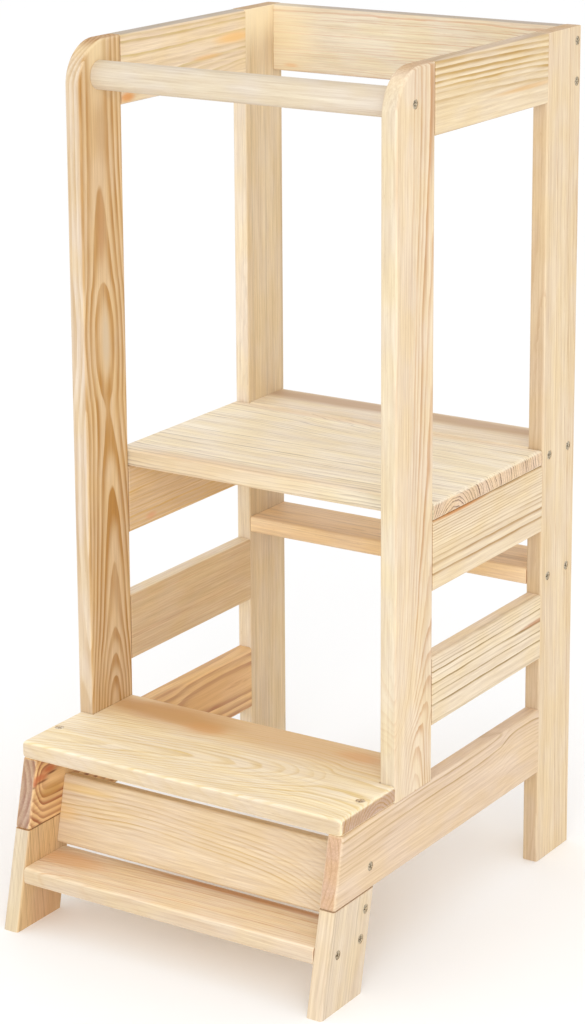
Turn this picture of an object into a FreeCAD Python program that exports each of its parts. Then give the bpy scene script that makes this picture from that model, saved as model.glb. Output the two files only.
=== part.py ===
import FreeCAD, Part
import math
import os

# Kitchen helper stool for a toddler: two ladder-like side frames of pine boards,
# joined by a platform, a step, a round handle bar and flat cross boards.
# Millimetres. X runs from side to side, the step faces -Y, Z is up.
# The origin lies on the floor, under the middle of the whole stool.

os.makedirs("parts", exist_ok=True)
Vector = FreeCAD.Vector

# ---------------------------------------------------------------- driving sizes
# whole stool
stool_height = 900.0
clear_width = 350.0              # between the two side frames
side_opening = 228.0             # between front and rear post
foot_reach = 137.0               # toe of the foot in front of the front posts

# side frame boards
frame_thickness = 18.0
post_depth = 72.0
rail_height = 72.0
foot_width = 72.0                # square across the leaning foot
foot_height = 103.0              # floor to the underside of the bottom rail
foot_lean = 13.0                 # degrees from upright
lower_side_gap = 57.0            # between the bottom rail and the middle rail
post_corner_radius = 45.0        # rounded top corner of the front posts

# platform and rear boards
platform_level = 463.0           # top of the platform
platform_thickness = 18.0
stretcher_thickness = 18.0
lower_stretcher_level = 330.0    # top of the lower rear stretcher
rear_rail_height = 72.0
rear_rail_thickness = 18.0

# step
tread_reach = 100.0              # tread in front of the front posts
tread_thickness = 18.0
tread_corner_radius = 6.0
riser_height = 72.0              # along the leaning board
riser_thickness = 18.0
riser_drop = 30.0                # tread underside to the riser's upper front edge
riser_setback = 51.0             # riser's face behind the foot's face
toe_board_depth = 72.0
toe_board_thickness = 18.0
toe_board_gap = 4.3              # below the riser's lowest edge

# handle bar
bar_diameter = 30.0
bar_drop = 36.0                  # bar axis below the top of the posts
bar_setback = 34.0               # bar axis behind the front edge of the posts

# worked edges
edge_radius = 3.0                # long edges of frame and cross boards
step_edge_radius = 4.5           # edges that are stood on
end_ease = 0.5                   # sawn ends
notch_gap = 0.5                  # tread and platform beside the posts

# countersunk wood screws
screw_length = 50.0
screw_diameter = 5.0
screw_head_diameter = 9.6
screw_sink = 0.4                 # head below the wood
screw_tip = 6.0
screw_margin = 15.0              # screw axis to the board's first long edge
riser_screw_margin = 17.0        # the same, on the riser and the toe board
screw_spacing = 42.0             # between the two screws at a board's end
screw_fit = 0.05                 # all round the screw
recess_span = 5.2
recess_width = 1.1
recess_depth = 2.4
recess_core = 0.7                # radius at the bottom of the recess
tread_screw_reach = 48.0         # tread screw in front of the front posts
tread_screw_inset = 10.5         # tread screw from the tread's side

# wooden dowels
dowel_diameter = 8.0
dowel_length = 40.0
dowel_spacing = 36.0
dowel_chamfer = 1.0
dowel_fit = 0.05                 # all round the dowel
dowel_end_room = 1.0             # glue room past each end
platform_dowel_length = 30.0
platform_dowel_bite = 11.0       # depth in the platform's underside
platform_dowel_margin = 38.0     # from the post to the dowel
foot_dowel_setback = 16.0        # from the foot's face to the first dowel
foot_dowel_spacing = 24.0

# ---------------------------------------------------------------- derived places
X_AXIS = Vector(1, 0, 0)
Y_AXIS = Vector(0, 1, 0)
Z_AXIS = Vector(0, 0, 1)

inner_x = clear_width / 2
outer_x = inner_x + frame_thickness
frame_mid_x = inner_x + frame_thickness / 2

overall_depth = foot_reach + 2 * post_depth + side_opening
toe_y = -overall_depth / 2
front_post_y = toe_y + foot_reach
front_post_back_y = front_post_y + post_depth
rear_post_y = front_post_back_y + side_opening
rear_post_back_y = rear_post_y + post_depth

bottom_rail_top = foot_height + rail_height
middle_rail_level = bottom_rail_top + lower_side_gap
top_rail_level = stool_height - rail_height
platform_underside = platform_level - platform_thickness
platform_rail_level = platform_underside - rail_height

lean = math.radians(foot_lean)
run = math.tan(lean)                       # how far a leaning face goes back per height
lean_up = Vector(0, math.sin(lean), math.cos(lean))
lean_back = Vector(0, math.cos(lean), -math.sin(lean))
foot_depth = foot_width / math.cos(lean)   # level cut across the foot
bar_y = front_post_y + bar_setback


def foot_face_y(height):
    """Y of the foot's leaning front face at a height above the floor."""
    return toe_y + run * height


# ---------------------------------------------------------------- shaping helpers
def box(x_range, y_range, z_range):
    """Square-edged block between pairs of coordinates."""
    low = Vector(x_range[0], y_range[0], z_range[0])
    size = Vector(x_range[1], y_range[1], z_range[1]) - low
    return Part.makeBox(size.x, size.y, size.z, low)


def plank(outline):
    """Right side frame board: a wire in the side view, as thick as the frame."""
    return Part.Face(outline).extrude(X_AXIS * frame_thickness)


def side_wire(points):
    """Closed side view of a frame board through (y, z) corners."""
    corners = [Vector(inner_x, y, z) for y, z in points]
    return Part.makePolygon(corners + corners[:1])


def is_straight_along(edge, direction):
    """True for a straight edge parallel to a direction."""
    if not isinstance(edge.Curve, Part.Line):
        return False
    return edge.tangentAt(edge.FirstParameter).cross(direction).Length < 1e-6


def round_long_edges(solid, direction, radius):
    """Rounds every straight edge that runs along the board."""
    edges = [edge for edge in solid.Edges if is_straight_along(edge, direction)]
    return solid.makeFillet(radius, edges)


def ease_ends(solid, normal):
    """Breaks the sharp edges of the flat sawn ends that face along a direction."""
    edges = []
    for face in solid.Faces:
        if not isinstance(face.Surface, Part.Plane):
            continue
        if face.normalAt(0, 0).cross(normal).Length < 1e-6:
            edges += face.Edges
    return solid.makeChamfer(end_ease, edges)


def mirrored(shape):
    """The same piece on the other side frame."""
    return shape.mirror(Vector(0, 0, 0), X_AXIS)


def cross_board(y_range, z_range, radius):
    """Level board between the side frames, with rounded long edges."""
    board = box((-inner_x, inner_x), y_range, z_range)
    board = round_long_edges(board, X_AXIS, radius)
    return ease_ends(board, X_AXIS)


# ---------------------------------------------------------------- side frame boards
def make_rear_post():
    post = box((inner_x, outer_x), (rear_post_y, rear_post_back_y), (0, stool_height))
    post = round_long_edges(post, Z_AXIS, edge_radius)
    return ease_ends(post, Z_AXIS)


def make_front_post():
    """Stands on the bottom rail; its top front corner is a large arc."""
    arc_low = Vector(inner_x, front_post_y, stool_height - post_corner_radius)
    arc_high = Vector(inner_x, front_post_y + post_corner_radius, stool_height)
    arc_shift = post_corner_radius * (1 - math.sqrt(0.5))
    arc_middle = Vector(inner_x, front_post_y + arc_shift, stool_height - arc_shift)
    foot_front = Vector(inner_x, front_post_y, bottom_rail_top)
    foot_back = Vector(inner_x, front_post_back_y, bottom_rail_top)
    top_back = Vector(inner_x, front_post_back_y, stool_height)
    outline = Part.Wire([
        Part.makeLine(foot_front, arc_low),
        Part.Arc(arc_low, arc_middle, arc_high).toShape(),
        Part.makeLine(arc_high, top_back),
        Part.makeLine(top_back, foot_back),
        Part.makeLine(foot_back, foot_front),
    ])
    post = plank(outline)
    worked = []
    for edge in post.Edges:
        if is_straight_along(edge, X_AXIS):
            continue
        if edge.BoundBox.ZMax > bottom_rail_top + end_ease:
            worked.append(edge)
    return post.makeFillet(edge_radius, worked)


def make_side_rail(level):
    """Rail between the two posts of one side frame."""
    rail = box((inner_x, outer_x), (front_post_back_y, rear_post_y), (level, level + rail_height))
    rail = round_long_edges(rail, Y_AXIS, edge_radius)
    return ease_ends(rail, Y_AXIS)


def make_bottom_rail():
    """Runs from the rear post to the step; its front end is sawn at the foot's lean."""
    rail = plank(side_wire([
        (rear_post_y, foot_height),
        (rear_post_y, bottom_rail_top),
        (foot_face_y(bottom_rail_top), bottom_rail_top),
        (foot_face_y(foot_height), foot_height),
    ]))
    rail = round_long_edges(rail, Y_AXIS, edge_radius)
    leaning = [edge for edge in rail.Edges if is_straight_along(edge, lean_up)]
    rail = rail.makeFillet(edge_radius, leaning)
    return ease_ends(rail, Y_AXIS)


def make_foot():
    """Leaning foot under the front end of the bottom rail."""
    foot = plank(side_wire([
        (toe_y, 0),
        (toe_y + foot_depth, 0),
        (foot_face_y(foot_height) + foot_depth, foot_height),
        (foot_face_y(foot_height), foot_height),
    ]))
    return round_long_edges(foot, lean_up, edge_radius)


# ---------------------------------------------------------------- boards across the stool
def make_handle_bar():
    start = Vector(-inner_x, bar_y, stool_height - bar_drop)
    bar = Part.makeCylinder(bar_diameter / 2, clear_width, start, X_AXIS)
    return ease_ends(bar, X_AXIS)


def make_rear_top_rail():
    y_range = (rear_post_back_y - rear_rail_thickness, rear_post_back_y)
    z_range = (stool_height - rear_rail_height, stool_height)
    return cross_board(y_range, z_range, edge_radius)


def make_rear_stretcher(top, radius):
    """Flat board between the rear posts, as deep as they are."""
    return cross_board((rear_post_y, rear_post_back_y), (top - stretcher_thickness, top), radius)


def make_platform():
    """Board that the child stands on: full width, between front and rear posts."""
    y_range = (front_post_back_y + notch_gap, rear_post_y - notch_gap)
    board = box((-outer_x, outer_x), y_range, (platform_underside, platform_level))
    rims = [edge for edge in board.Edges if not is_straight_along(edge, Z_AXIS)]
    return board.makeFillet(step_edge_radius, rims)


def make_tread():
    """Step board on the bottom rails, notched round the front posts."""
    front = front_post_y - tread_reach
    shoulder = front_post_y - notch_gap
    tongue_x = inner_x - notch_gap
    level = (bottom_rail_top, bottom_rail_top + tread_thickness)
    board = box((-outer_x, outer_x), (front, shoulder), level)
    corners = []
    for edge in board.Edges:
        if is_straight_along(edge, Z_AXIS) and edge.BoundBox.YMax < (front + shoulder) / 2:
            corners.append(edge)
    board = board.makeFillet(tread_corner_radius, corners)
    rims = []
    for edge in board.Edges:
        if is_straight_along(edge, Z_AXIS) or edge.BoundBox.YMin > shoulder - end_ease:
            continue
        rims.append(edge)
    board = board.makeFillet(step_edge_radius, rims)
    overlap = front + tread_corner_radius + step_edge_radius
    tongue = box((-tongue_x, tongue_x), (overlap, front_post_back_y), level)
    rear_rims = []
    for edge in tongue.Edges:
        if is_straight_along(edge, X_AXIS) and edge.BoundBox.YMin > shoulder:
            rear_rims.append(edge)
    tongue = tongue.makeFillet(step_edge_radius, rear_rims)
    return board.fuse(tongue).removeSplitter()


def riser_point(along, through):
    """(y, z) in the riser's section: down its face from the top edge, and into its thickness."""
    top_z = bottom_rail_top - riser_drop
    top = Vector(0, foot_face_y(top_z) + riser_setback / math.cos(lean), top_z)
    return top - lean_up * along + lean_back * through


def make_riser():
    """Leaning board under the tread, parallel to the feet."""
    corners = []
    for along, through in ((0, 0), (0, riser_thickness), (riser_height, riser_thickness), (riser_height, 0)):
        corner = riser_point(along, through)
        corners.append(Vector(-inner_x, corner.y, corner.z))
    board = Part.Face(Part.makePolygon(corners + corners[:1])).extrude(X_AXIS * clear_width)
    board = round_long_edges(board, X_AXIS, edge_radius)
    return ease_ends(board, X_AXIS)


toe_board_top = riser_point(riser_height, riser_thickness).z - toe_board_gap
toe_board_mid = toe_board_top - toe_board_thickness / 2
toe_board_y = foot_face_y(toe_board_mid)


def make_toe_board():
    """Flat board between the feet; its front edge is in line with their faces."""
    y_range = (toe_board_y, toe_board_y + toe_board_depth)
    z_range = (toe_board_top - toe_board_thickness, toe_board_top)
    return cross_board(y_range, z_range, step_edge_radius)


# ---------------------------------------------------------------- screws and dowels
def turned(profile, start, direction):
    """Solid turned about an axis from (distance along it, radius) pairs."""
    points = [Vector(radius, 0, along) for along, radius in profile]
    face = Part.Face(Part.makePolygon(points + points[:1]))
    solid = face.revolve(Vector(0, 0, 0), Z_AXIS, 360)
    solid.Placement = FreeCAD.Placement(start, FreeCAD.Rotation(Z_AXIS, direction))
    return solid


def screw_profile(play, lid):
    """Countersunk screw outline, with play all round, closed at the given depth."""
    head = screw_head_diameter / 2 + play
    shank = screw_diameter / 2 + play
    seat = screw_sink + (screw_head_diameter - screw_diameter) / 2
    end = screw_length + play
    return [(lid, 0), (lid, head), (screw_sink, head), (seat, shank), (end - screw_tip, shank), (end, 0)]


def make_screw(start, direction):
    """Screw that starts at the wood's surface and points along a direction."""
    profile = screw_profile(0, screw_sink)
    profile.remove((screw_sink, screw_head_diameter / 2))
    screw = turned(profile, start, direction)
    half = recess_span / 2
    wing = Part.makeBox(recess_span, recess_width, recess_depth, Vector(-half, -recess_width / 2, 0))
    other = Part.makeBox(recess_width, recess_span, recess_depth, Vector(-recess_width / 2, -half, 0))
    taper = Part.makeCone(half, recess_core, recess_depth)
    recess = wing.fuse(other).common(taper)
    place = start + direction * screw_sink
    recess.Placement = FreeCAD.Placement(place, FreeCAD.Rotation(Z_AXIS, direction))
    return screw.cut(recess)


def screw_bore(start, direction):
    """Countersunk hole for a screw, open at the wood's surface."""
    return turned(screw_profile(screw_fit, -screw_sink), start, direction)


def make_dowel(middle, direction, length, shift):
    """Dowel across a joint at its middle; shift moves it along the direction."""
    radius = dowel_diameter / 2
    start = middle + direction * (shift - length / 2)
    neck = radius - dowel_chamfer
    profile = [(0, 0), (0, neck), (dowel_chamfer, radius), (length - dowel_chamfer, radius),
               (length, neck), (length, 0)]
    return turned(profile, start, direction)


def dowel_bore(middle, direction, length, shift):
    """Hole for a dowel, with glue room at both ends."""
    reach = length / 2 + dowel_end_room
    start = middle + direction * (shift - reach)
    return Part.makeCylinder(dowel_diameter / 2 + dowel_fit, 2 * reach, start, direction)


pieces = {}
hardware = {}


def drill(names, bore):
    """Cuts one hole through every named piece."""
    for name in names:
        pieces[name] = pieces[name].cut(bore)


def add_screws(group, members, places, direction):
    """Screws on the right side, through its frame board into a cross piece."""
    for place in places:
        drill(members, screw_bore(place, direction))
        hardware.setdefault(group, []).append(make_screw(place, direction))


def add_dowels(group, members, middles, direction, length=dowel_length, shift=0.0):
    """Dowels across the joint between the named pieces."""
    for middle in middles:
        drill(members, dowel_bore(middle, direction, length, shift))
        hardware.setdefault(group, []).append(make_dowel(middle, direction, length, shift))


# ---------------------------------------------------------------- right side frame
pieces["right_rear_post"] = make_rear_post()
pieces["right_front_post"] = make_front_post()
pieces["right_top_rail"] = make_side_rail(top_rail_level)
pieces["right_platform_rail"] = make_side_rail(platform_rail_level)
pieces["right_middle_rail"] = make_side_rail(middle_rail_level)
pieces["right_bottom_rail"] = make_bottom_rail()
pieces["right_foot"] = make_foot()

rail_levels = {
    "right_top_rail": top_rail_level,
    "right_platform_rail": platform_rail_level,
    "right_middle_rail": middle_rail_level,
    "right_bottom_rail": foot_height,
}
for rail, level in rail_levels.items():
    heights = [level + (rail_height + side * dowel_spacing) / 2 for side in (-1, 1)]
    rear = [Vector(frame_mid_x, rear_post_y, height) for height in heights]
    add_dowels("rail_dowels", [rail, "right_rear_post"], rear, Y_AXIS)
    if rail != "right_bottom_rail":
        front = [Vector(frame_mid_x, front_post_back_y, height) for height in heights]
        add_dowels("rail_dowels", [rail, "right_front_post"], front, Y_AXIS)

post_mid_y = front_post_y + post_depth / 2
post_dowel_places = []
for side in (-1, 1):
    post_dowel_places.append(Vector(frame_mid_x, post_mid_y + side * dowel_spacing / 2, bottom_rail_top))
add_dowels("post_foot_dowels", ["right_front_post", "right_bottom_rail"], post_dowel_places, Z_AXIS)

foot_dowel_places = []
for offset in (foot_dowel_setback, foot_dowel_setback + foot_dowel_spacing):
    foot_dowel_places.append(Vector(frame_mid_x, foot_face_y(foot_height) + offset, foot_height))
add_dowels("foot_dowels", ["right_foot", "right_bottom_rail"], foot_dowel_places, Z_AXIS)

# ---------------------------------------------------------------- cross pieces
pieces["handle_bar"] = make_handle_bar()
pieces["rear_top_rail"] = make_rear_top_rail()
pieces["platform_stretcher"] = make_rear_stretcher(platform_level, step_edge_radius)
pieces["lower_stretcher"] = make_rear_stretcher(lower_stretcher_level, edge_radius)
pieces["platform"] = make_platform()
pieces["step_tread"] = make_tread()
pieces["step_riser"] = make_riser()
pieces["toe_board"] = make_toe_board()
cross_pieces = ["handle_bar", "rear_top_rail", "platform_stretcher", "lower_stretcher",
                "platform", "step_tread", "step_riser", "toe_board"]

platform_dowel_shift = platform_dowel_bite - platform_dowel_length / 2
platform_dowel_places = []
for y in (front_post_back_y + platform_dowel_margin, rear_post_y - platform_dowel_margin):
    platform_dowel_places.append(Vector(frame_mid_x, y, platform_underside))
add_dowels("platform_dowels", ["platform", "right_platform_rail"], platform_dowel_places, Z_AXIS,
           platform_dowel_length, platform_dowel_shift)

inward = Vector(-1, 0, 0)
downward = Vector(0, 0, -1)

bar_places = [Vector(outer_x, bar_y, stool_height - bar_drop)]
add_screws("handle_bar_screws", ["right_front_post", "handle_bar"], bar_places, inward)

rear_rail_places = []
for height in (stool_height - screw_margin, stool_height - screw_margin - screw_spacing):
    rear_rail_places.append(Vector(outer_x, rear_post_back_y - rear_rail_thickness / 2, height))
add_screws("rear_top_rail_screws", ["right_rear_post", "rear_top_rail"], rear_rail_places, inward)

for stretcher, top in (("platform_stretcher", platform_level), ("lower_stretcher", lower_stretcher_level)):
    places = []
    for y in (rear_post_y + screw_margin, rear_post_y + screw_margin + screw_spacing):
        places.append(Vector(outer_x, y, top - stretcher_thickness / 2))
    add_screws(stretcher + "_screws", ["right_rear_post", stretcher], places, inward)

riser_places = []
for along in (riser_screw_margin, riser_screw_margin + screw_spacing):
    centre = riser_point(along, riser_thickness / 2)
    riser_places.append(Vector(outer_x, centre.y, centre.z))
add_screws("riser_screws", ["right_bottom_rail", "right_foot", "step_riser"], riser_places, inward)

toe_places = []
for y in (toe_board_y + riser_screw_margin, toe_board_y + riser_screw_margin + screw_spacing):
    toe_places.append(Vector(outer_x, y, toe_board_mid))
add_screws("toe_board_screws", ["right_foot", "toe_board"], toe_places, inward)

tread_top = bottom_rail_top + tread_thickness
tread_places = [Vector(outer_x - tread_screw_inset, front_post_y - tread_screw_reach, tread_top)]
add_screws("tread_screws", ["step_tread", "right_bottom_rail"], tread_places, downward)

# ---------------------------------------------------------------- left side, as a mirror image
for name in cross_pieces:
    right_half = pieces[name].common(box((0, 2 * outer_x), (-overall_depth, overall_depth), (0, stool_height)))
    pieces[name] = right_half.fuse(mirrored(right_half)).removeSplitter()

for name in [name for name in pieces if name.startswith("right_")]:
    pieces[name.replace("right_", "left_")] = mirrored(pieces[name])

for group, solids in hardware.items():
    pieces[group] = Part.makeCompound(solids + [mirrored(solid) for solid in solids])

# ---------------------------------------------------------------- export
for name, shape in pieces.items():
    shape.exportStep("parts/" + name + ".step")
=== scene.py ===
import math

import bpy
from mathutils import Matrix, Vector

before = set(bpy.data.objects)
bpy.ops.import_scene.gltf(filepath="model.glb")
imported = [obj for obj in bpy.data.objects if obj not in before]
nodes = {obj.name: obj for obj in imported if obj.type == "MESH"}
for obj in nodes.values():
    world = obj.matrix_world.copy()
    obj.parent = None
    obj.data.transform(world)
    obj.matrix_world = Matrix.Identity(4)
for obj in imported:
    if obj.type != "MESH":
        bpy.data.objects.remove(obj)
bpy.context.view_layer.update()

MM = 0.001      # in metres

# ---------------------------------------------------------------- node helpers


class Net:
    """Short calls for building one node tree."""

    def __init__(self, tree):
        self.tree = tree

    def node(self, kind, **settings):
        made = self.tree.nodes.new(kind)
        for key, value in settings.items():
            setattr(made, key, value)
        return made

    def wire(self, socket, value):
        """Links a socket, or sets its number or colour. None leaves it as it is."""
        if isinstance(value, bpy.types.NodeSocket):
            self.tree.links.new(value, socket)
        elif value is not None:
            if socket.type == "RGBA" and len(value) == 3:
                value = (*value, 1.0)
            socket.default_value = value

    def wire_all(self, sockets, values):
        for socket, value in zip(sockets, values):
            self.wire(socket, value)

    def math(self, operation, a, b=None, clamp=False):
        made = self.node("ShaderNodeMath", operation=operation, use_clamp=clamp)
        self.wire_all(made.inputs, (a, b))
        return made.outputs[0]

    def add(self, a, b):
        return self.math("ADD", a, b)

    def sub(self, a, b):
        return self.math("SUBTRACT", a, b)

    def times(self, a, b, clamp=False):
        return self.math("MULTIPLY", a, b, clamp)

    def scale(self, vector, factor):
        made = self.node("ShaderNodeVectorMath", operation="SCALE")
        self.wire(made.inputs[0], vector)
        made.inputs["Scale"].default_value = factor
        return made.outputs[0]

    def minus(self, vector, other):
        made = self.node("ShaderNodeVectorMath", operation="SUBTRACT")
        self.wire_all(made.inputs, (vector, other))
        return made.outputs[0]

    def dot(self, vector, axis):
        made = self.node("ShaderNodeVectorMath", operation="DOT_PRODUCT")
        self.wire_all(made.inputs, (vector, axis))
        return made.outputs["Value"]

    def length(self, x, y):
        made = self.node("ShaderNodeVectorMath", operation="LENGTH")
        self.wire(made.inputs[0], self.pack(x, y, 0.0))
        return made.outputs["Value"]

    def pack(self, x, y, z):
        made = self.node("ShaderNodeCombineXYZ")
        self.wire_all(made.inputs, (x, y, z))
        return made.outputs[0]

    def split(self, vector):
        made = self.node("ShaderNodeSeparateXYZ")
        self.wire(made.inputs[0], vector)
        return made.outputs

    def noise(self, vector, detail=2.0, rough=0.5):
        made = self.node("ShaderNodeTexNoise", noise_dimensions="3D")
        self.wire(made.inputs["Vector"], vector)
        self.wire_all((made.inputs["Scale"], made.inputs["Detail"], made.inputs["Roughness"]),
                      (1.0, detail, rough))
        return made.outputs[0]

    def grain_noise(self, parts, along, across, detail, rough=0.5):
        """Noise drawn out along the grain; along and across are its frequencies per mm."""
        stretched = [self.times(part, factor) for part, factor in zip(parts, (along, across, across))]
        return self.noise(self.pack(*stretched), detail, rough)

    def mix(self, factor, a, b, blend="MIX"):
        made = self.node("ShaderNodeMix", data_type="RGBA", blend_type=blend)
        self.wire_all((made.inputs[0], made.inputs[6], made.inputs[7]), (factor, a, b))
        return made.outputs[2]

    def tinted(self, colour, tint):
        return self.mix(1.0, colour, tint, "MULTIPLY")

    def swap(self, factor, a, b):
        made = self.node("ShaderNodeMix", data_type="FLOAT")
        self.wire_all(made.inputs, (factor, None, a, b))
        return made.outputs[0]

    def smooth(self, value, low, high, to_low=0.0, to_high=1.0):
        made = self.node("ShaderNodeMapRange", interpolation_type="SMOOTHSTEP")
        self.wire_all(made.inputs, (value, low, high, to_low, to_high))
        return made.outputs[0]

    def curve(self, value, points):
        """A smooth curve through (x, y) points with x from 0 to 1.

        The node holds y from 0 to 1, because its handles bend badly on large numbers.
        """
        made = self.node("ShaderNodeFloatCurve")
        self.wire(made.inputs["Value"], value)
        line = made.mapping.curves[0]
        made.mapping.use_clip = False
        low = min(y for _, y in points)
        span = max(y for _, y in points) - low
        unit = [(x, (y - low) / span) for x, y in points]
        line.points[0].location = unit[0]
        line.points[1].location = unit[-1]
        for x, y in unit[1:-1]:
            line.points.new(x, y)
        made.mapping.update()
        stretched = self.node("ShaderNodeMath", operation="MULTIPLY_ADD")
        self.wire_all(stretched.inputs, (made.outputs[0], span, low))
        return stretched.outputs[0]


def rgb(red, green, blue):
    """Linear colour from 0-255 display numbers."""
    shares = [value / 255.0 for value in (red, green, blue)]
    return tuple(s / 12.92 if s <= 0.04045 else ((s + 0.055) / 1.055) ** 2.4 for s in shares)


def new_material(name):
    material = bpy.data.materials.new(name)
    material.use_nodes = True
    material.node_tree.nodes.clear()
    return material, Net(material.node_tree)


def finish(net, shader):
    out = net.node("ShaderNodeOutputMaterial")
    net.wire(out.inputs["Surface"], shader.outputs[0])


# ---------------------------------------------------------------- growth rings, shared by all pine
# Each wave that bends the rings: frequency along the grain, frequency across it, share.
WAVES = ((0.0045, 0.021, 1.0), (0.012, 0.09, 0.4), (0.03, 0.16, 0.3), (0.07, 0.6, 0.14))
# Noise in the wood: frequency along the grain, frequency across it, detail, roughness.
PATCH = (0.012, 0.07, 2.0)              # where the latewood is fainter
STREAK = (0.035, 1.9, 3.0, 0.62)        # fine fibres
THREAD = (0.013, 0.5, 2.0, 0.6)         # narrow lighter and darker threads
BAND = (0.0035, 0.075, 2.0)             # broad bands
CLOUD = (0.02, 0.045, 1.0)              # warmer and cooler places
DUCT = (0.16, 2.6, 0.0)                 # short resin ducts
PORES = (2.3, 2.0, 0.7)                 # end grain: frequency, detail, roughness
RING_END = 0.92                         # where in a ring its dark line ends
DUCT_COLOUR, DUCT_SHARE = rgb(168, 118, 74), 0.28
ARRIS_COLOUR, ARRIS_SHARE = rgb(246, 228, 196), 0.08
GLUE_COLOUR, GLUE_SHARE = rgb(140, 100, 64), 0.2


def node_group(name, takes, gives):
    group = bpy.data.node_groups.new(name, "ShaderNodeTree")
    for title, kind in takes:
        group.interface.new_socket(title, in_out="INPUT", socket_type="NodeSocket" + kind)
    for title, kind in gives:
        group.interface.new_socket(title, in_out="OUTPUT", socket_type="NodeSocket" + kind)
    net = Net(group)
    return group, net, net.node("NodeGroupInput").outputs, net.node("NodeGroupOutput").inputs


def make_wander_group():
    """How far the rings leave true circles, in mm, at a point of the board."""
    group, net, inp, out = node_group(
        "ring_wander", (("Grain", "Vector"), ("Waver", "Float")), (("Shift", "Float"),))
    parts = net.split(inp["Grain"])
    shift = None
    for along, across, share in WAVES:
        wave = net.grain_noise(parts, along, across, 1.0)
        wave = net.times(net.sub(wave, 0.5), share)
        shift = wave if shift is None else net.add(shift, wave)
    net.wire(out["Shift"], net.times(shift, inp["Waver"]))
    return group


def make_ring_group():
    """Colour, roughness and height of pine from the count of rings at a point."""
    group, net, inp, out = node_group(
        "pine_growth",
        (
            ("Grain", "Vector"),        # mm in the board's own axes
            ("Rings", "Float"),         # rings counted out from the pith
            ("Late", "Float"),          # strength of the dark latewood lines
            ("Even", "Float"),          # 1 if every line is as strong as the next
            ("Rise", "Float"),          # where in a ring the wood starts to darken
            ("Full", "Float"),          # where in a ring it is darkest
            ("End", "Float"),           # 1 on end grain
            ("Arris", "Float"),         # 1 on rounded edges
            ("Edge", "Float"),          # 1 on the narrow long faces
            ("End late", "Float"),      # strength of the lines on end grain
            ("Edge late", "Float"),     # strength of the lines on the narrow long faces
            ("Early colour", "Color"),
            ("Late colour", "Color"),
            # Edge tint: the wood's tone on the narrow long faces, together with painted light and shade
            # there
            ("Edge tint", "Color"),
            ("End tint", "Color"),
        ),
        (("Colour", "Color"), ("Rough", "Float"), ("Height", "Float")),
    )
    parts = net.split(inp["Grain"])

    # the dark line of each ring
    year = net.math("FLOOR", inp["Rings"])
    part = net.sub(inp["Rings"], year)
    chance = net.node("ShaderNodeTexWhiteNoise", noise_dimensions="1D")
    net.wire(chance.inputs["W"], year)
    vigour = net.math("MAXIMUM", net.smooth(chance.outputs["Value"], 0.0, 1.0, 0.3, 1.0), inp["Even"])
    rise = net.math("POWER", net.smooth(part, inp["Rise"], inp["Full"]), 1.3)
    fall = net.smooth(part, RING_END, 1.0, 1.0, 0.0)
    dark = net.times(net.times(rise, fall), vigour)
    dark = net.times(dark, net.smooth(net.grain_noise(parts, *PATCH), 0.3, 0.7, 0.6, 1.15))
    for face in ("End", "Edge"):
        dark = net.times(dark, net.swap(inp[face], 1.0, inp[face + " late"]))
    lines = net.times(dark, inp["Late"], clamp=True)

    streak, thread, band, cloud, ducts = [
        net.grain_noise(parts, *noise) for noise in (STREAK, THREAD, BAND, CLOUD, DUCT)]
    duct = net.smooth(ducts, 0.76, 0.86)
    pores = net.noise(net.scale(inp["Grain"], PORES[0]), *PORES[1:])

    # colour: the tone scales red, part of the warmth scales green, and all of it blue
    colour = net.mix(lines, inp["Early colour"], inp["Late colour"])
    tone = net.add(net.smooth(streak, 0.2, 0.8, 0.92, 1.06), net.smooth(band, 0.25, 0.75, -0.04, 0.03))
    tone = net.add(tone, net.smooth(thread, 0.25, 0.75, -0.085, 0.065))
    warm = net.add(tone, net.smooth(cloud, 0.3, 0.7, -0.05, 0.05))
    green = net.times(tone, net.math("POWER", warm, 0.3))
    colour = net.tinted(colour, net.pack(tone, green, net.math("POWER", warm, 1.5)))
    colour = net.mix(net.times(duct, DUCT_SHARE), colour, DUCT_COLOUR)
    # Tint of the narrow long faces: partly the wood's tone there, partly painted light and shade, such
    # as the shaded tops of the top rails.
    colour = net.mix(inp["Edge"], colour, net.tinted(colour, inp["Edge tint"]))
    end_tone = net.smooth(pores, 0.3, 0.7, 0.84, 1.0)
    end_colour = net.tinted(colour, net.pack(end_tone, end_tone, end_tone))
    colour = net.mix(inp["End"], colour, net.tinted(end_colour, inp["End tint"]))
    colour = net.mix(net.times(inp["Arris"], ARRIS_SHARE), colour, ARRIS_COLOUR)

    rough = net.add(net.smooth(lines, 0.0, 1.0, 0.58, 0.47), net.times(inp["End"], 0.2))
    rough = net.add(rough, net.times(net.sub(streak, 0.5), 0.12))
    height = net.add(net.times(lines, 0.5), net.times(streak, 0.35))
    height = net.sub(height, net.times(duct, 0.4))
    height = net.add(height, net.times(net.times(pores, inp["End"]), 0.6))
    net.wire_all((out["Colour"], out["Rough"], out["Height"]), (colour, rough, height))
    return group


WANDER = make_wander_group()
RINGS = make_ring_group()


def board_axes(net, origin, along, across):
    """Where a point is in a board's axes, in mm, and how squarely its face meets each axis.

    The axes are u along the grain, v across the face, and w through the board.
    """
    axes = (tuple(along), tuple(across), tuple(Vector(along).cross(Vector(across))))
    point = net.node("ShaderNodeTexCoord").outputs["Object"]
    point = net.scale(net.minus(point, tuple(c * MM for c in origin)), 1 / MM)
    normal = net.node("ShaderNodeNewGeometry").outputs["Normal"]
    place = [net.dot(point, axis) for axis in axes]
    return place, [net.math("ABSOLUTE", net.dot(normal, axis)) for axis in axes]


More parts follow.
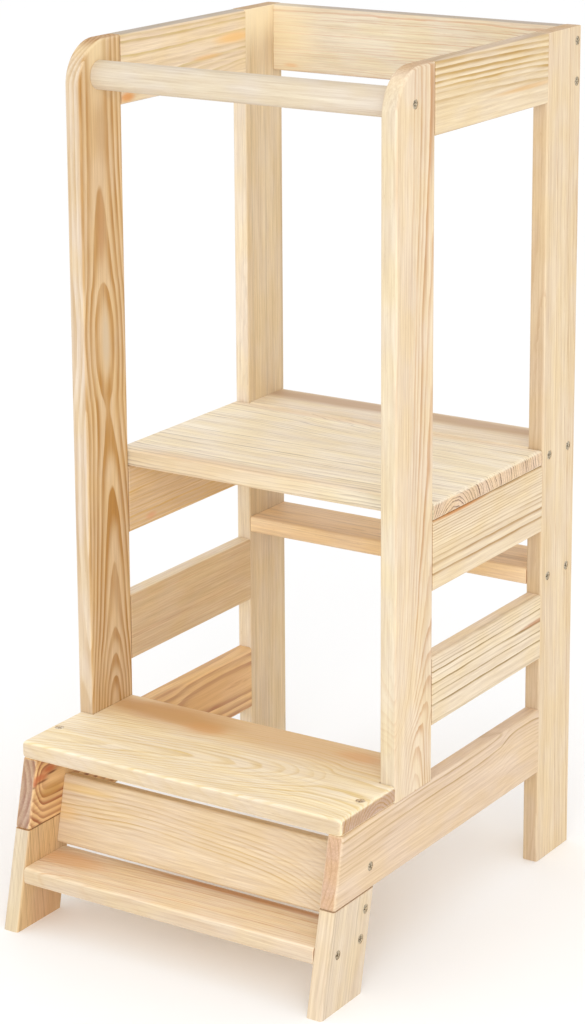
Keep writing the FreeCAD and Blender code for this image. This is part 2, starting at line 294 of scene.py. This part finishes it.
def drift(net, place, points):
    """A number, or a smooth curve through (place, value) points."""
    if isinstance(points, (int, float)):
        return float(points)
    start, stop = points[0][0], points[-1][0]
    share = net.math("DIVIDE", net.sub(place, start), stop - start, clamp=True)
    return net.curve(share, [((at - start) / (stop - start), value) for at, value in points])


def middle_of(points):
    return points if isinstance(points, (int, float)) else points[len(points) // 2][1]


def count_lines(net, radius, lines, centre, depth, late):
    """Rings counted so that their dark lines lie where `lines` says, and how strong they are."""
    marks = sorted((math.hypot(line - middle_of(centre), middle_of(depth)), strength)
                   for line, strength in lines)
    low, span = marks[0][0], marks[-1][0] - marks[0][0]
    last = len(marks) - 1
    share = net.math("DIVIDE", net.sub(radius, low), span)
    points = [((mark - low) / span, float(i + 1)) for i, (mark, _) in enumerate(marks)]
    counted = net.sub(net.curve(share, points), 1.0 - RING_END)
    ring = net.math("DIVIDE", net.math("FLOOR", counted), float(last))
    vigour = net.curve(ring, [(i / last, strength) for i, (_, strength) in enumerate(marks)])
    vigour = net.math("MINIMUM", net.math("MAXIMUM", vigour, 0.0), 1.0)
    return counted, net.times(vigour, late)


def count_rings(net, radius, spacing, years):
    """Rings counted at an even spacing, which wide and narrow years disturb."""
    counted = net.math("DIVIDE", radius, spacing)
    weather = net.node("ShaderNodeTexNoise", noise_dimensions="1D")
    net.wire_all([weather.inputs[socket] for socket in ("W", "Scale", "Detail", "Roughness")],
                 (counted, 0.9, 1.0, 0.5))
    return net.add(counted, net.times(weather.outputs[0], 1.3 * years))


def pine(name, origin, along, across, early, dark, face=9.0, centre=0.0, depth=30.0, spacing=3.0,
         lines=None, years=1.0, waver=5.0, late=0.6, even=0.0, rise=0.35, full=0.88, seed=0.0,
         staves=(), ends=(), calm=None, stains_and_painted_light=(), edge_tint_and_painted_light=(1.0, 1.0, 1.0),
         end_tint=(0.86, 0.76, 0.70), edge_late=0.6, end_late=0.65):
    """Pine board, sawn beside its pith.

    origin: where its places along and across count from, in mm: its middle, or for posts and feet
        the middle of their width at floor height.
    along, across: the way its grain and its width run.
    early, dark: linear colours of the wood that grew early and late in the year.
    face: which broad face `centre` and `depth` are given on, as its place through the board, in mm.
    centre: where across that face the pith lies under it, as a number or as (along, across) points.
    depth: how deep under that face the pith lies, as a number or as (along, depth) points.
    spacing: mm between rings. years: how unlike each other the years are.
    lines: (across, strength) of each dark line, halfway along, in place of spacing.
    waver: mm that the rings leave true circles.
    late, even, rise, full: as in make_ring_group.
    staves: (across, centre, depth) of each further stave glued on beyond that place.
    ends: (across, centre, depth) of the rings on the end grain beyond each place.
    calm: (across, across, factor), the lines are fainter by the factor up to the first place and
        full from the second on.
    stains: (along, across, length, width, colour, strength) of each coloured patch. Some are stains in
    the wood; others are painted shade and painted light, where a board lies in shade or is lit more.
    edge_tint_and_painted_light, end_tint: colour factors of its narrow long faces and its ends. The edge
    factor holds the wood's tone there together with painted light and shade: below 1 where those faces
    lie in shade, above 1 where they are lit more than the broad faces.
    edge_late, end_late: how strong the lines are there.
    """
    material, net = new_material("pine_" + name)
    (u, v, w), (nu, nv, nw) = board_axes(net, origin, along, across)
    end = net.smooth(nu, 0.75, 0.97)

    # the pith's place, and the distance from it
    middle, deep = drift(net, u, centre), drift(net, u, depth)
    for edge, further, deeper in staves:
        beyond = net.math("GREATER_THAN", v, edge)
        middle = net.swap(beyond, middle, drift(net, u, further))
        deep = net.swap(beyond, deep, drift(net, u, deeper))
    for edge, further, deeper in ends:
        beyond = net.times(net.math("GREATER_THAN", v, edge), net.math("GREATER_THAN", nu, 0.7))
        middle, deep = net.swap(beyond, middle, further), net.swap(beyond, deep, deeper)
    below = net.times(net.sub(face, w), math.copysign(1.0, face))
    place = net.pack(net.add(u, seed), v, w)
    wander = net.node("ShaderNodeGroup")
    wander.node_tree = WANDER
    net.wire_all((wander.inputs["Grain"], wander.inputs["Waver"]), (place, waver))
    radius = net.length(net.sub(v, middle), net.sub(deep, below))
    radius = net.add(radius, wander.outputs[0])

    if lines:
        rings, late = count_lines(net, radius, lines, centre, depth, late)
        even = 1.0
    else:
        rings = count_rings(net, radius, spacing, years)
    if calm:
        late = net.times(net.smooth(v, calm[0], calm[1], calm[2], 1.0), late)
    group = net.node("ShaderNodeGroup")
    group.node_tree = RINGS
    flat = net.math("MAXIMUM", nu, net.math("MAXIMUM", nv, nw))
    for socket, value in {
        "Grain": place, "Rings": rings, "Late": late, "Even": even, "Rise": rise, "Full": full,
        "End": end, "Arris": net.smooth(flat, 0.985, 0.90), "Edge": net.smooth(nv, 0.6, 0.95),
        "End late": end_late, "Edge late": edge_late, "Early colour": early, "Late colour": dark,
        "Edge tint": edge_tint_and_painted_light, "End tint": end_tint,
    }.items():
        net.wire(group.inputs[socket], value)

    colour = group.outputs["Colour"]
    # Coloured patches. Some are stains in the wood; others are painted shade (the platform's shadow on
    # the tread, the riser's on the toe board, the groove under the platform's end, the platform
    # stretcher's rear half) and painted light (the lit upper end of the left rear post).
    for su, sv, length, width, tint, strength in stains_and_painted_light:
        off_u = net.math("DIVIDE", net.sub(u, su), length)
        off_v = net.math("DIVIDE", net.sub(v, sv), width)
        far = net.length(off_u, off_v)
        far = net.add(far, net.times(wander.outputs[0], 0.12))
        cover = net.times(net.smooth(far, 1.3, 0.3, 0.0, strength), net.sub(1.0, end))
        colour = net.mix(cover, colour, tint)
    for edge, _, _ in staves:
        seam = net.smooth(net.math("ABSOLUTE", net.sub(v, edge)), 0.15, 0.45, GLUE_SHARE, 0.0)
        colour = net.mix(seam, colour, GLUE_COLOUR)

    shader = net.node("ShaderNodeBsdfPrincipled")
    bump = net.node("ShaderNodeBump")
    net.wire_all([bump.inputs[socket] for socket in ("Strength", "Distance", "Height")],
                 (0.35, 0.0004, group.outputs["Height"]))
    net.wire_all([shader.inputs[socket] for socket in ("Base Color", "Roughness", "Normal")],
                 (colour, group.outputs["Rough"], bump.outputs[0]))
    shader.inputs["Specular IOR Level"].default_value = 0.3
    finish(net, shader)
    return material


def dress(name, material):
    piece = nodes[name]
    piece.data.materials.clear()
    piece.data.materials.append(material)


# ---------------------------------------------------------------- boards
UP, RIGHT, BACK = (0, 0, 1), (1, 0, 0), (0, 1, 0)
LEAN = math.radians(13.0)       # of the feet and the riser
FOOT_UP = (0, math.sin(LEAN), math.cos(LEAN))
FOOT_BACK = (0, math.cos(LEAN), -math.sin(LEAN))

# What pine() takes for each board. Posts and feet are described on the face towards +X, which is
# at -9 mm through them, and the other boards on the face at +9 mm.
# The left posts, the left platform and middle rails and the left foot have darker, warmer colours than
# their right-hand twins: this paints in the shade on their inner faces. Where their edge tints go above
# 1, these lighten the front edges again. The edge tints below 1 on the top rails and the right rear post
# paint shade on their tops and front edges.
BOARDS = {
    "left_front_post": dict(
        origin=(-184, -81.5, 0), along=UP, across=BACK, face=-9.0,
        spacing=4.6, years=0.0, waver=1.1, seed=40, late=1.0, even=0.8, rise=0.12, full=0.75,
        edge_late=0.5,
        early=(0.699, 0.497, 0.277), dark=(0.452, 0.221, 0.047), edge_tint_and_painted_light=(1.003, 1.144, 1.497),
        centre=[(175, 4), (230, 5), (355, 7), (440, 5), (590, -2), (655, -3), (750, -6), (900, -8)],
        depth=[
            (175, 7), (215, 12), (232, 15.6), (252, 18.8), (283, 23.4), (357, 28), (440, 32.6),
            (495, 36.0), (518, 36.4), (538, 35.0), (588, 32.6), (636, 35.0), (656, 37.2),
            (700, 39.3), (748, 41.0), (768, 41.6), (800, 41.9), (900, 42.1)
        ],
        stains_and_painted_light=[
            (890, -6, 60, 20, rgb(238, 216, 172), 0.55), (588, 0, 40, 7, rgb(208, 188, 160), 0.75),
            (806, -2, 34, 15, rgb(190, 152, 104), 0.5), (705, -4, 44, 7, rgb(184, 130, 74), 0.5)
        ]
    ),
    "right_front_post": dict(
        origin=(184, -81.5, 0), along=UP, across=BACK, face=-9.0,
        spacing=3.6, years=0.25, waver=4.0, seed=310, late=0.9, even=0.4, rise=0.3, edge_late=0.7,
        calm=(-14, 14, 0.35),
        early=(0.776, 0.619, 0.422), dark=(0.553, 0.306, 0.142), edge_tint_and_painted_light=(0.921, 0.968, 1.003),
        centre=[(175, 3), (225, 8), (262, 24), (330, 34), (480, 38), (900, 42)],
        depth=[
            (175, 14), (190, 17), (225, 22), (255, 27), (300, 33), (345, 38), (400, 42), (480, 46),
            (640, 50), (860, 54), (900, 54)
        ]
    ),
    "left_rear_post": dict(
        origin=(-184, 218.5, 0), along=UP, across=BACK, face=-9.0,
        centre=70, depth=20, spacing=2.3, waver=6, seed=900, late=0.28,
        early=(0.707, 0.544, 0.34), dark=(0.039, 0.03, 0.061), edge_tint_and_painted_light=(1.155, 1.259, 1.491),
        # The pale patch at the top (along 902) is painted light: the upper end of the post, out of the
        # shade lower down, is lighter.
        stains_and_painted_light=[
            (600, 34, 300, 5, rgb(176, 146, 112), 0.4), (902, 0, 44, 80, rgb(250, 231, 192), 0.8)
        ]
    ),
    "right_rear_post": dict(
        origin=(184, 218.5, 0), along=UP, across=BACK, face=-9.0,
        depth=34, spacing=3.4, waver=7, seed=1300, late=0.45,
        early=(0.759, 0.6, 0.394), dark=(0.467, 0.235, 0.099), edge_tint_and_painted_light=(0.842, 0.802, 0.767),
        centre=[(0, 60), (450, 48), (900, 40)]
    ),
    "left_top_rail": dict(
        origin=(-184, 68.5, 864), along=BACK, across=UP,
        waver=4, seed=77, late=1.0, rise=0.2, full=0.8,
        early=(0.81, 0.643, 0.437), dark=(0.638, 0.475, 0.227), edge_tint_and_painted_light=(0.603, 0.63, 0.747),
        centre=[(-114, -40), (0, -46), (114, -51)],
        depth=[(-114, 45), (0, 36), (114, 20)],
        lines=[
            (39, 0.5), (33.5, 0.7), (28, 0.95), (21, 0.12), (14, 0.95), (7, 0.2), (0, 0.3),
            (-8, 0.8), (-16, 0.4), (-26, 0.7), (-35, 0.4)
        ],
        stains_and_painted_light=[
            (92, 9, 36, 7, rgb(240, 192, 122), 0.8), (40, -6, 30, 3, rgb(236, 186, 124), 0.5),
            (-104, -29, 14, 6, rgb(226, 150, 74), 0.8)
        ]
    ),
    "left_platform_rail": dict(
        origin=(-184, 68.5, 409), along=BACK, across=UP,
        centre=-70, depth=20, spacing=4.2, waver=5, seed=140, late=0.75,
        early=(0.724, 0.515, 0.294), dark=(0.644, 0.389, 0.11),
        stains_and_painted_light=[(-76, -27, 12, 5, rgb(224, 160, 120), 0.6)]
    ),
    "left_middle_rail": dict(
        origin=(-184, 68.5, 268), along=BACK, across=UP,
        centre=74, depth=24, spacing=2.8, waver=5, seed=210, late=0.24,
        early=(0.664, 0.485, 0.277), dark=(0.429, 0.041, 0.015), edge_tint_and_painted_light=(1.25, 1.462, 1.908)
    ),
    "left_bottom_rail": dict(
        origin=(-184, -24, 139), along=BACK, across=UP,
        spacing=7.0, years=0.0, waver=3.4, seed=260, late=0.75, even=0.6, rise=0.1, full=0.8,
        end_late=0.8,
        early=(0.794, 0.523, 0.252), dark=(0.277, 0.045, 0.01), end_tint=(0.697, 0.714, 1.003),
        centre=[(-206, 8), (-150, 8), (-60, 3), (40, 4), (206, 2)],
        depth=[
            (-206, 43), (-200, 33), (-192, 26), (-186, 18), (-176, 11), (-150, 9), (-60, 22),
            (10, 24), (40, 26), (95, 21.5), (206, 21)
        ],
        ends=[(-300, 0, 72)],
        stains_and_painted_light=[
            (130, 4, 90, 16, rgb(206, 150, 94), 0.35), (-168, -4, 22, 8, rgb(192, 146, 76), 0.6),
            (-198, 11, 9, 3.5, rgb(192, 116, 82), 0.85),
            (-186, 15, 13, 4.6, rgb(198, 118, 78), 0.9), (-170, 20, 13, 4, rgb(190, 106, 64), 0.9),
            (-200, 7, 6, 1.5, rgb(104, 60, 38), 0.85), (-183, 10, 10, 1.3, rgb(124, 70, 40), 0.8),
            (-166, 15, 8, 1.3, rgb(112, 62, 36), 0.85)
        ]
    ),
    "right_top_rail": dict(
        origin=(184, 68.5, 864), along=BACK, across=UP,
        depth=22, waver=3.2, seed=30, late=1.0, rise=0.15, full=0.8,
        early=(0.773, 0.621, 0.408), dark=(0.515, 0.32, 0.103), edge_tint_and_painted_light=(0.774, 0.738, 0.79),
        centre=[(-114, -58.5), (0, -60), (114, -64)],
        lines=[
            (39.5, 0.7), (33.5, 0.8), (27.5, 1), (20.5, 1), (14.2, 1), (8.5, 0.95), (3, 0.5),
            (-4, 0.6), (-11, 0.15), (-19, 0.1), (-28, 0.12), (-36, 0.6)
        ],
        stains_and_painted_light=[(68, -13, 76, 3.0, rgb(216, 166, 98), 0.55)]
    ),
    "right_platform_rail": dict(
        origin=(184, 68.5, 409), along=BACK, across=UP,
        centre=-75, depth=24, waver=3.0, seed=55, late=1.0, rise=0.45,
        early=(0.775, 0.619, 0.409), dark=(0.433, 0.255, 0.096),
        lines=[
            (36, 1), (33, 0.7), (30, 0.5), (27, 0.75), (24, 0.5), (21, 0.65), (18, 0.5), (15, 0.65),
            (12, 0.5), (8, 0.5), (4, 0.55), (-1, 0.6), (-7.5, 0.95), (-17.5, 1), (-26, 0.1),
            (-35, 0.25)
        ],
        # The dark orange-brown line along the top edge is painted shade, in the groove under the
        # platform's end.
        stains_and_painted_light=[(-60, 36, 62, 2.2, rgb(198, 136, 78), 0.9)]
    ),
    "right_middle_rail": dict(
        origin=(184, 68.5, 268), along=BACK, across=UP,
        centre=-70, depth=22, waver=3.6, seed=88, late=1.0, rise=0.5,
        early=(0.786, 0.641, 0.447), dark=(0.336, 0.216, 0.07), edge_tint_and_painted_light=(1.082, 1.083, 1.121),
        lines=[
            (36, 0.6), (33, 0.5), (30, 0.45), (26.5, 0.6), (21, 1), (15, 0.25), (8, 1), (2, 0.2),
            (-3, 0.9), (-8, 0.15), (-13.5, 1), (-22, 0.12), (-31, 0.35)
        ],
        stains_and_painted_light=[(104, 9, 34, 2.6, rgb(176, 116, 74), 0.7)]
    ),
    "right_bottom_rail": dict(
        origin=(184, -24, 139), along=BACK, across=UP,
        depth=24, waver=3.8, seed=520, late=0.85, rise=0.4, end_late=1.3,
        early=(0.729, 0.552, 0.379), dark=(0.426, 0.255, 0.091), end_tint=(0.932, 0.808, 0.746),
        centre=[(-206, -77), (-60, -75), (60, -75), (120, -72), (165, -64), (206, -66)],
        lines=[
            (35, 0.8), (29, 0.3), (22, 0.95), (17, 0.25), (13, 0.4), (9, 0.3), (5, 0.4), (1, 0.2),
            (-4, 0.3), (-10, 0.15), (-17, 0.2), (-26, 0.15), (-35, 0.2)
        ],
        ends=[(-300, 0, 80)]
    ),
    "left_foot": dict(
        origin=(-184, -218.6, 0), along=FOOT_UP, across=FOOT_BACK, face=-9.0,
        depth=28, spacing=4.0, waver=5, seed=33, late=0.42, rise=0.3, edge_late=0.3,
        early=(0.716, 0.501, 0.272), dark=(0.186, 0.075, 0.015), edge_tint_and_painted_light=(0.978, 1.152, 1.481),
        centre=[(0, -34), (106, -66)],
        stains_and_painted_light=[(14, 8, 40, 34, rgb(196, 146, 108), 0.45)]
    ),
    "right_foot": dict(
        origin=(184, -218.6, 0), along=FOOT_UP, across=FOOT_BACK, face=-9.0,
        centre=50, depth=60, spacing=3.2, waver=6, seed=610, late=0.3,
        early=(0.725, 0.587, 0.419), dark=(0.227, 0.143, 0.023), edge_tint_and_painted_light=(1.009, 0.991, 0.955)
    ),
    "rear_top_rail": dict(
        origin=(0, 245.5, 864), along=RIGHT, across=UP,
        centre=60, depth=30, spacing=3.2, waver=6, seed=700, late=0.4,
        early=(0.733, 0.634, 0.463), dark=(0.505, 0.119, 0.025), edge_tint_and_painted_light=(0.64, 0.626, 0.678),
        stains_and_painted_light=[
            (-152, -29, 11, 3, rgb(214, 148, 88), 0.55), (-175, 0, 60, 60, rgb(249, 228, 184), 0.45)
        ]
    ),
    "platform": dict(
        origin=(0, 68.5, 454), along=RIGHT, across=BACK,
        depth=40, spacing=4.2, waver=7, seed=815, late=0.42, even=0.3, edge_late=1.0, end_late=2.4,
        early=(0.875, 0.757, 0.561), dark=(0.12, 0.042, 0.031), edge_tint_and_painted_light=(0.894, 0.92, 0.914),
        end_tint=(0.95, 0.816, 0.73),
        centre=[(-193, -118), (0, -124), (193, -118)],
        staves=[
            (-42, -70, 44),
            (20, 130, [(-193, 66), (-115, 62), (-60, 54), (0, 45), (60, 39), (193, 35)])
        ],
        ends=[(-300, -72, 34), (-8, -52, 36)],
        stains_and_painted_light=[
            (-60, -107, 150, 12, rgb(222, 190, 150), 0.5),
            (-10, 106, 200, 10, rgb(226, 192, 150), 0.5)
        ]
    ),
    "platform_stretcher": dict(
        origin=(0, 218.5, 454), along=RIGHT, across=BACK,
        centre=60, depth=30, spacing=3.0, waver=6, seed=960, late=0.2,
        early=(0.813, 0.678, 0.498), dark=(0.128, 0.154, 0.185), edge_tint_and_painted_light=(1.12, 1.13, 1.115),
        # The darker band over the rear half is painted shade.
        stains_and_painted_light=[(0, 16, 600, 18, rgb(182, 146, 112), 0.75)]
    ),
    "lower_stretcher": dict(
        origin=(0, 218.5, 321), along=RIGHT, across=BACK,
        centre=-10, depth=26, spacing=4.0, waver=6, seed=1010, late=0.22, edge_late=0.5,
        early=(0.874, 0.642, 0.395), dark=(0.099, 0.035, 0.028), edge_tint_and_painted_light=(1.079, 1.105, 1.1)
    ),
    "step_tread": dict(
        origin=(0, -131.5, 184), along=RIGHT, across=BACK,
        spacing=4.2, years=0.3, waver=4, seed=1100, late=0.65, even=0.5, edge_late=0.25,
        end_late=1.4,
        early=(0.922, 0.792, 0.573), dark=(0.746, 0.524, 0.157), edge_tint_and_painted_light=(0.749, 0.7, 0.675),
        end_tint=(0.639, 0.508, 0.493),
        centre=[(-193, -62), (-60, -34), (40, -16), (130, -7), (193, -16)],
        depth=[
            (-193, 20), (-60, 27), (0, 31), (40, 35), (60, 38), (80, 42), (95, 46), (115, 51),
            (130, 54.8), (150, 55.2), (193, 55.4)
        ],
        ends=[(-300, -20, 34)],
        # The darker orange-brown patches along the rear (across 42 to 62) are painted shade: the
        # platform's shadow on the tread between the posts.
        stains_and_painted_light=[
            (10, 62, 260, 44, rgb(222, 184, 134), 0.7), (-110, 58, 80, 26, rgb(202, 152, 92), 0.75),
            (-52, 42, 26, 16, rgb(216, 158, 94), 0.6), (124, 60, 30, 14, rgb(226, 170, 116), 0.5)
        ]
    ),
    "step_riser": dict(
        origin=(0, -168.6, 109.9), along=RIGHT, across=FOOT_UP,
        depth=20, waver=3.4, seed=1200, late=0.9, rise=0.35,
        early=(0.774, 0.623, 0.43), dark=(0.62, 0.428, 0.208),
        centre=[
            (-175, -63), (-130, -60), (-80, -57), (0, -62), (60, -66), (100, -72), (145, -86),
            (175, -95)
        ],
        lines=[
            (34, 0.3), (28, 0.3), (21, 0.4), (15, 0.5), (10, 0.8), (5, 0.6), (0, 1), (-4, 0.6),
            (-9, 1), (-14, 0.5), (-20, 0.3), (-27, 0.2), (-34, 0.2)
        ],
        stains_and_painted_light=[
            (-150, 22, 40, 5, rgb(232, 198, 118), 0.5), (-172, -6, 20, 9, rgb(236, 200, 138), 0.5)
        ]
    ),
    "toe_board": dict(
        origin=(0, -205.2, 57.5), along=RIGHT, across=BACK,
        depth=26, spacing=4.4, waver=6, seed=1290, late=0.5, edge_late=0.4,
        early=(0.883, 0.717, 0.501), dark=(0.614, 0.248, 0.028), edge_tint_and_painted_light=(0.788, 0.772, 0.765),
        centre=[(-175, 40), (-40, 60), (175, 66)],
        # The orange-brown band along the rear (across 28) is painted shade, where the toe board runs
        # under the riser; the patch at the left end is the wood's own tone.
        stains_and_painted_light=[
            (60, 28, 150, 5, rgb(204, 144, 84), 0.75), (-150, 8, 50, 18, rgb(222, 170, 114), 0.6)
        ]
    ),
    "handle_bar": dict(
        origin=(0, -83.5, 864), along=RIGHT, across=BACK,
        centre=46, depth=30, spacing=3.6, waver=7, seed=1400, late=0.35,
        early=(0.666, 0.574, 0.446), dark=(0.5, 0.345, 0.189)
    ),
}
for board, sawn in BOARDS.items():
    dress(board, pine(board, **sawn))

# ---------------------------------------------------------------- screws and dowels
STEEL_GRAIN = 900.0             # per metre
DOWEL_EARLY, DOWEL_DARK = rgb(236, 214, 178), rgb(206, 158, 104)


def steel(name, dull, bright):
    """Zinc-plated steel, clouded between two colours."""
    material, net = new_material(name)
    point = net.node("ShaderNodeTexCoord").outputs["Object"]
    cloud = net.noise(net.scale(point, STEEL_GRAIN), 3.0)
    shader = net.node("ShaderNodeBsdfPrincipled")
    net.wire(shader.inputs["Base Color"], net.mix(net.smooth(cloud, 0.3, 0.7), dull, bright))
    net.wire(shader.inputs["Roughness"], net.smooth(cloud, 0.2, 0.8, 0.28, 0.42))
    shader.inputs["Metallic"].default_value = 1.0
    finish(net, shader)
    return material


zinc = steel("zinc_screw", rgb(114, 100, 78), rgb(226, 211, 184))
clean_zinc = steel("clean_zinc_screw", rgb(186, 166, 138), rgb(240, 226, 202))
for name in nodes:
    if name.endswith("_screws"):
        dress(name, clean_zinc if name == "tread_screws" else zinc)
    elif name.endswith("_dowels"):
        dress(name, pine(name, origin=(184, 0, 0), along=UP, across=BACK, early=DOWEL_EARLY,
                         dark=DOWEL_DARK, late=0.2))

# ---------------------------------------------------------------- floor and light
REACH = 30.0                    # half the floor's width, in metres
floor_mesh = bpy.data.meshes.new("floor")
floor_mesh.from_pydata(
    [(-REACH, -REACH, 0), (REACH, -REACH, 0), (REACH, REACH, 0), (-REACH, REACH, 0)], [], [(0, 1, 2, 3)])
paper = bpy.data.materials.new("floor")
paper.use_nodes = True
paper_shader = paper.node_tree.nodes["Principled BSDF"]
paper_shader.inputs["Base Color"].default_value = (0.97, 0.97, 0.97, 1.0)
paper_shader.inputs["Roughness"].default_value = 0.95
floor_mesh.materials.append(paper)
floor = bpy.data.objects.new("floor", floor_mesh)
bpy.context.scene.collection.objects.link(floor)

world = bpy.data.worlds.new("studio")
bpy.context.scene.world = world
world.use_nodes = True
surround = world.node_tree.nodes["Background"]
surround.inputs["Color"].default_value = (1.0, 1.0, 1.0, 1.0)
surround.inputs["Strength"].default_value = 1.03

LIGHT_PLACE, LIGHT_TARGET = Vector((1.9, -3.0, 1.7)), Vector((0, 0, 0.5))   # metres
LIGHT_SIZE = (2.2, 2.0)         # metres
LIGHT_POWER = 42                # watts
lamp = bpy.data.lights.new("front_fill", "AREA")
lamp.shape = "RECTANGLE"
lamp.size, lamp.size_y = LIGHT_SIZE
lamp.energy = LIGHT_POWER
softbox = bpy.data.objects.new("front_fill", lamp)
softbox.location = LIGHT_PLACE
softbox.rotation_euler = (LIGHT_TARGET - LIGHT_PLACE).to_track_quat("-Z", "Y").to_euler()
bpy.context.scene.collection.objects.link(softbox)

# ---------------------------------------------------------------- camera, as fitted to the photograph
CAMERA_PLACE = (1546.6308, -2395.9951, 1293.95)     # mm
CAMERA_YAW, CAMERA_PITCH, CAMERA_ROLL = 32.8315, -13.3799, -0.3329
FOCAL_PIXELS = 2887.4826
IMAGE = (585, 1024)
CENTRE_ROW = 320.0              # the row that the camera looks straight at
SENSOR = 36.0                   # mm

yaw, pitch, roll = (math.radians(a) for a in (CAMERA_YAW, CAMERA_PITCH, CAMERA_ROLL))
forward = Vector((-math.sin(yaw) * math.cos(pitch), math.cos(yaw) * math.cos(pitch), math.sin(pitch)))
level = Vector((math.cos(yaw), math.sin(yaw), 0.0))
upright = level.cross(forward)
right = level * math.cos(roll) + upright * math.sin(roll)
top = -level * math.sin(roll) + upright * math.cos(roll)
camera_data = bpy.data.cameras.new("photo_camera")
camera_data.sensor_fit = "AUTO"
camera_data.sensor_width = SENSOR
camera_data.lens = FOCAL_PIXELS * SENSOR / max(IMAGE)
camera_data.shift_y = (CENTRE_ROW - IMAGE[1] / 2) / max(IMAGE)
camera_data.clip_end = 200.0    # metres
camera = bpy.data.objects.new("photo_camera", camera_data)
rotation = Matrix((right, top, -forward)).transposed().to_4x4()
camera.matrix_world = Matrix.Translation(Vector(CAMERA_PLACE) * MM) @ rotation
bpy.context.scene.collection.objects.link(camera)
bpy.context.scene.camera = camera
bpy.context.scene.view_settings.view_transform = "Standard"
